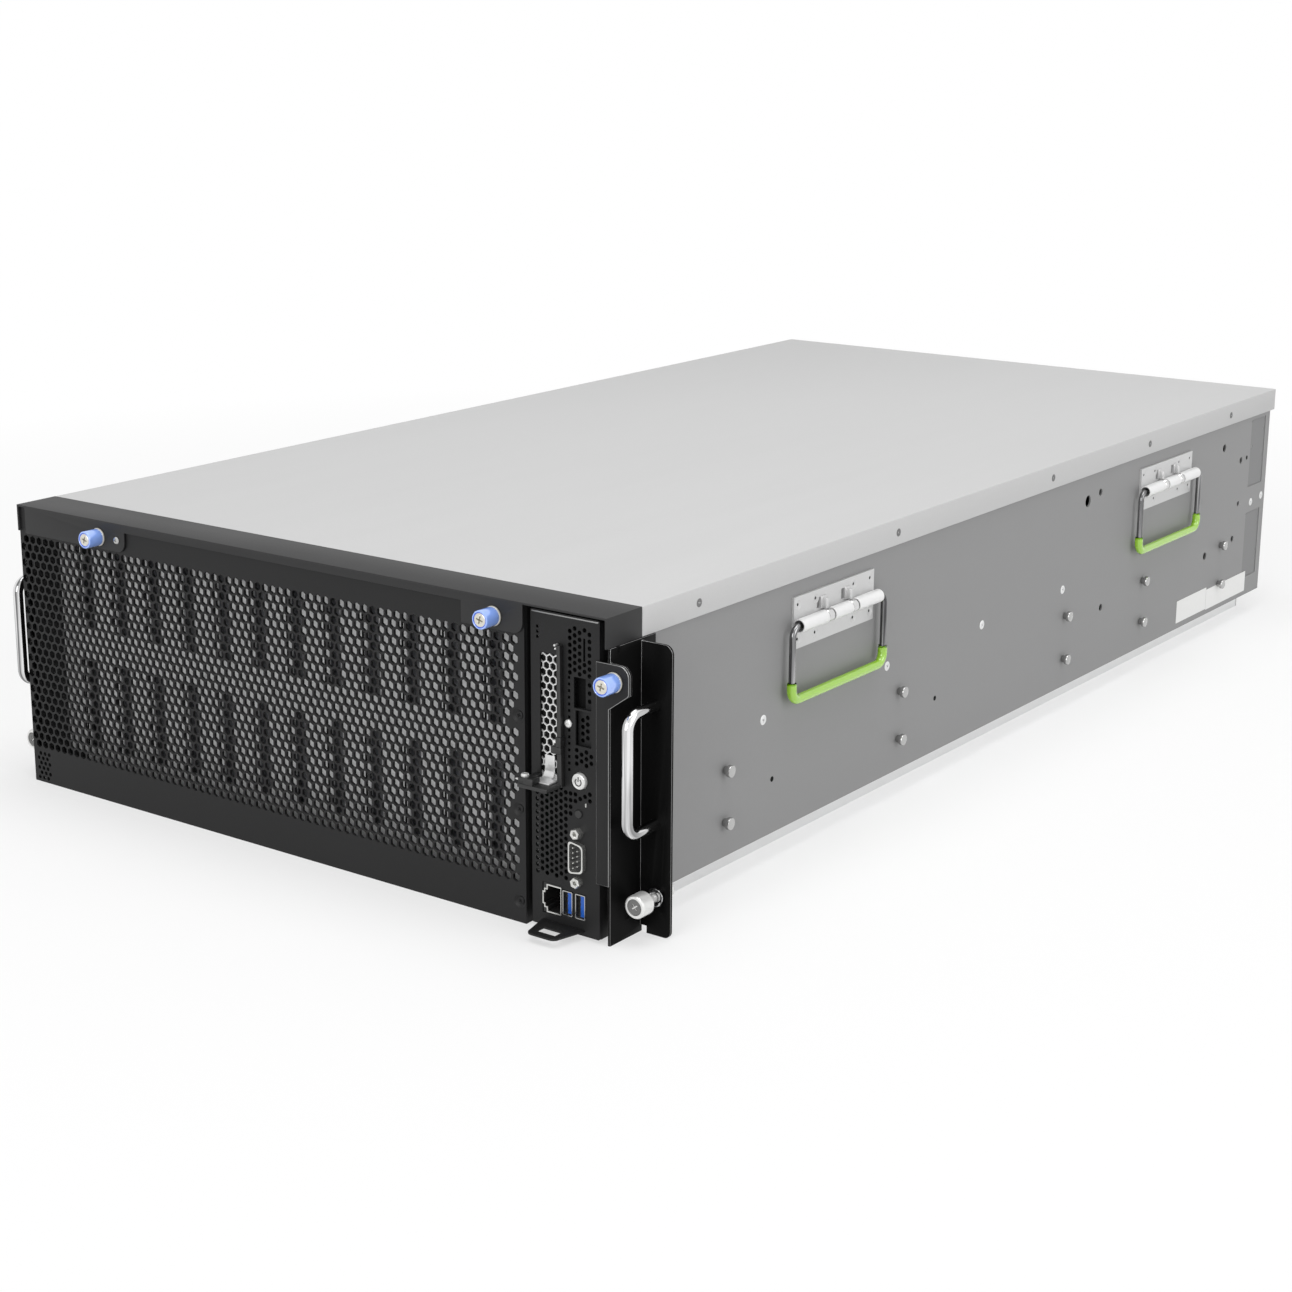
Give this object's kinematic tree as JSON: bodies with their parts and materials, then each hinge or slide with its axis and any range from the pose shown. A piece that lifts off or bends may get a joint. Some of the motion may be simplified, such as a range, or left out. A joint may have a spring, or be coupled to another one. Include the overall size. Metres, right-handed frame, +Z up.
{
  "type": "storage server",
  "caption": "Top-loading rack storage server: steel case with perforated front, pull-out control module, rack ears, folding carry handles and standing drives under a lift-off cover.",
  "frame": {"origin": "centre of the bounding box at its base, under the middle of the case", "axes": "+X to the right seen from the front, +Y from the front to the back, +Z up"},
  "size_m": [0.4826, 0.898, 0.175],
  "materials": {
    "cover_grey": "satin powder coat",
    "galvanised": "galvanised sheet",
    "bright_zinc": "bright zinc",
    "black_coat": "fine-grained black powder coat",
    "chrome": "polished",
    "nickel": "satin nickel",
    "blue_plastic": "smooth",
    "green_rubber": "soft satin",
    "black_plastic": "matte",
    "board_green": "solder mask",
    "drive_metal": "cast"
  },
  "bodies": {
    "chassis": {"base_pan": "galvanised", "side_wall_left": "galvanised", "side_wall_right": "galvanised", "rear_panel": "galvanised", "front_mesh_panel": "black_coat", "drive_cage_front": "bright_zinc", "drive_row_dividers": "galvanised", "module_bay_wall": "galvanised", "backplane": "board_green", "hard_drives": "drive_metal", "ear_left": "black_coat", "ear_right": "black_coat", "ear_handle_left": "chrome", "ear_handle_right": "chrome", "ear_ferrules": "nickel", "carry_plates": "bright_zinc", "rail_studs": "bright_zinc", "fan_frames": "black_plastic", "supply_cage": "galvanised", "power_board": "board_green"},
    "top_cover": {"top_cover": "cover_grey"},
    "front_cap": {"front_cap": "black_coat"},
    "cap_screw_left": {"cap_screw_left_core": "nickel", "cap_screw_left_sleeve": "blue_plastic"},
    "cap_screw_right": {"cap_screw_right_core": "nickel", "cap_screw_right_sleeve": "blue_plastic"},
    "control_module": {"module_tray": "bright_zinc", "module_faceplate": "black_coat", "module_pull_tab": "black_coat", "mainboard": "board_green", "heatsinks": "drive_metal", "memory_modules": "black_plastic", "network_port": "nickel", "usb_ports": "nickel", "serial_port": "nickel", "card_bracket": "nickel", "card_retainer": "black_plastic"},
    "module_screw": {"module_screw_core": "nickel", "module_screw_sleeve": "blue_plastic"},
    "power_button": {"power_button": "black_plastic"},
    "identify_button": {"identify_button": "black_plastic"},
    "ear_screw_left": {"ear_screw_left": "nickel"},
    "ear_screw_right": {"ear_screw_right": "nickel"},
    "power_supply_1": {"power_supply_1": "bright_zinc", "power_supply_handle_1": "nickel"},
    "power_supply_2": {"power_supply_2": "bright_zinc", "power_supply_handle_2": "nickel"},
    "carry_handle_right_front": {"bail_right_front": "nickel", "grip_right_front": "green_rubber"},
    "carry_handle_right_rear": {"bail_right_rear": "nickel", "grip_right_rear": "green_rubber"},
    "carry_handle_left_front": {"bail_left_front": "nickel", "grip_left_front": "green_rubber"},
    "carry_handle_left_rear": {"bail_left_rear": "nickel", "grip_left_rear": "green_rubber"},
    "fan_rotor_1": {"fan_rotor_1": "black_plastic"},
    "fan_rotor_2": {"fan_rotor_2": "black_plastic"},
    "fan_rotor_3": {"fan_rotor_3": "black_plastic"},
    "fan_rotor_4": {"fan_rotor_4": "black_plastic"}
  },
  "joints": [
    {"name": "front_cap_slide", "type": "slide", "parent": "chassis", "child": "front_cap", "axis": [0, -1, 0], "range_m": [0, 0.06]},
    {"name": "top_cover_lift", "type": "slide", "parent": "chassis", "child": "top_cover", "axis": [0, 0, 1], "range_m": [0, 0.2]},
    {"name": "module_slide", "type": "slide", "parent": "chassis", "child": "control_module", "axis": [0, -1, 0], "range_m": [0, 0.4]},
    {"name": "cap_screw_left_turn", "type": "hinge", "parent": "front_cap", "child": "cap_screw_left", "pos_m": [-0.1495, -0.432, 0.165], "axis": [0, 1, 0], "continuous": true},
    {"name": "cap_screw_right_turn", "type": "hinge", "parent": "front_cap", "child": "cap_screw_right", "pos_m": [0.1495, -0.432, 0.165], "axis": [0, 1, 0], "continuous": true},
    {"name": "module_screw_turn", "type": "hinge", "parent": "control_module", "child": "module_screw", "pos_m": [0.2254, -0.4302, 0.1425], "axis": [0, 1, 0], "continuous": true},
    {"name": "ear_screw_left_turn", "type": "hinge", "parent": "chassis", "child": "ear_screw_left", "pos_m": [-0.23255, -0.41, 0.022], "axis": [0, 1, 0], "continuous": true},
    {"name": "ear_screw_right_turn", "type": "hinge", "parent": "chassis", "child": "ear_screw_right", "pos_m": [0.23255, -0.41, 0.022], "axis": [0, 1, 0], "continuous": true},
    {"name": "power_button_press", "type": "slide", "parent": "control_module", "child": "power_button", "axis": [0, 1, 0], "range_m": [0, 0.0012], "stiffness_N_per_m": 400},
    {"name": "identify_button_press", "type": "slide", "parent": "control_module", "child": "identify_button", "axis": [0, 1, 0], "range_m": [0, 0.0006], "stiffness_N_per_m": 400},
    {"name": "carry_handle_right_front_swing", "type": "hinge", "parent": "chassis", "child": "carry_handle_right_front", "pos_m": [0.2255, -0.216, 0.1345], "axis": [0, -1, 0], "range_deg": [0, 90]},
    {"name": "carry_handle_right_rear_swing", "type": "hinge", "parent": "chassis", "child": "carry_handle_right_rear", "pos_m": [0.2255, 0.23501, 0.1345], "axis": [0, -1, 0], "range_deg": [0, 90]},
    {"name": "carry_handle_left_front_swing", "type": "hinge", "parent": "chassis", "child": "carry_handle_left_front", "pos_m": [-0.2255, -0.216, 0.1345], "axis": [0, 1, 0], "range_deg": [0, 90]},
    {"name": "carry_handle_left_rear_swing", "type": "hinge", "parent": "chassis", "child": "carry_handle_left_rear", "pos_m": [-0.2255, 0.23501, 0.1345], "axis": [0, 1, 0], "range_deg": [0, 90]},
    {"name": "power_supply_1_slide", "type": "slide", "parent": "chassis", "child": "power_supply_1", "axis": [0, 1, 0], "range_m": [0, 0.15]},
    {"name": "power_supply_2_slide", "type": "slide", "parent": "chassis", "child": "power_supply_2", "axis": [0, 1, 0], "range_m": [0, 0.15]},
    {"name": "fan_1_spin", "type": "hinge", "parent": "chassis", "child": "fan_rotor_1", "pos_m": [-0.156, 0.408, 0.117], "axis": [0, 1, 0], "continuous": true},
    {"name": "fan_2_spin", "type": "hinge", "parent": "chassis", "child": "fan_rotor_2", "pos_m": [-0.052, 0.408, 0.117], "axis": [0, 1, 0], "continuous": true},
    {"name": "fan_3_spin", "type": "hinge", "parent": "chassis", "child": "fan_rotor_3", "pos_m": [0.052, 0.408, 0.117], "axis": [0, 1, 0], "continuous": true},
    {"name": "fan_4_spin", "type": "hinge", "parent": "chassis", "child": "fan_rotor_4", "pos_m": [0.156, 0.408, 0.117], "axis": [0, 1, 0], "continuous": true}
  ]
}
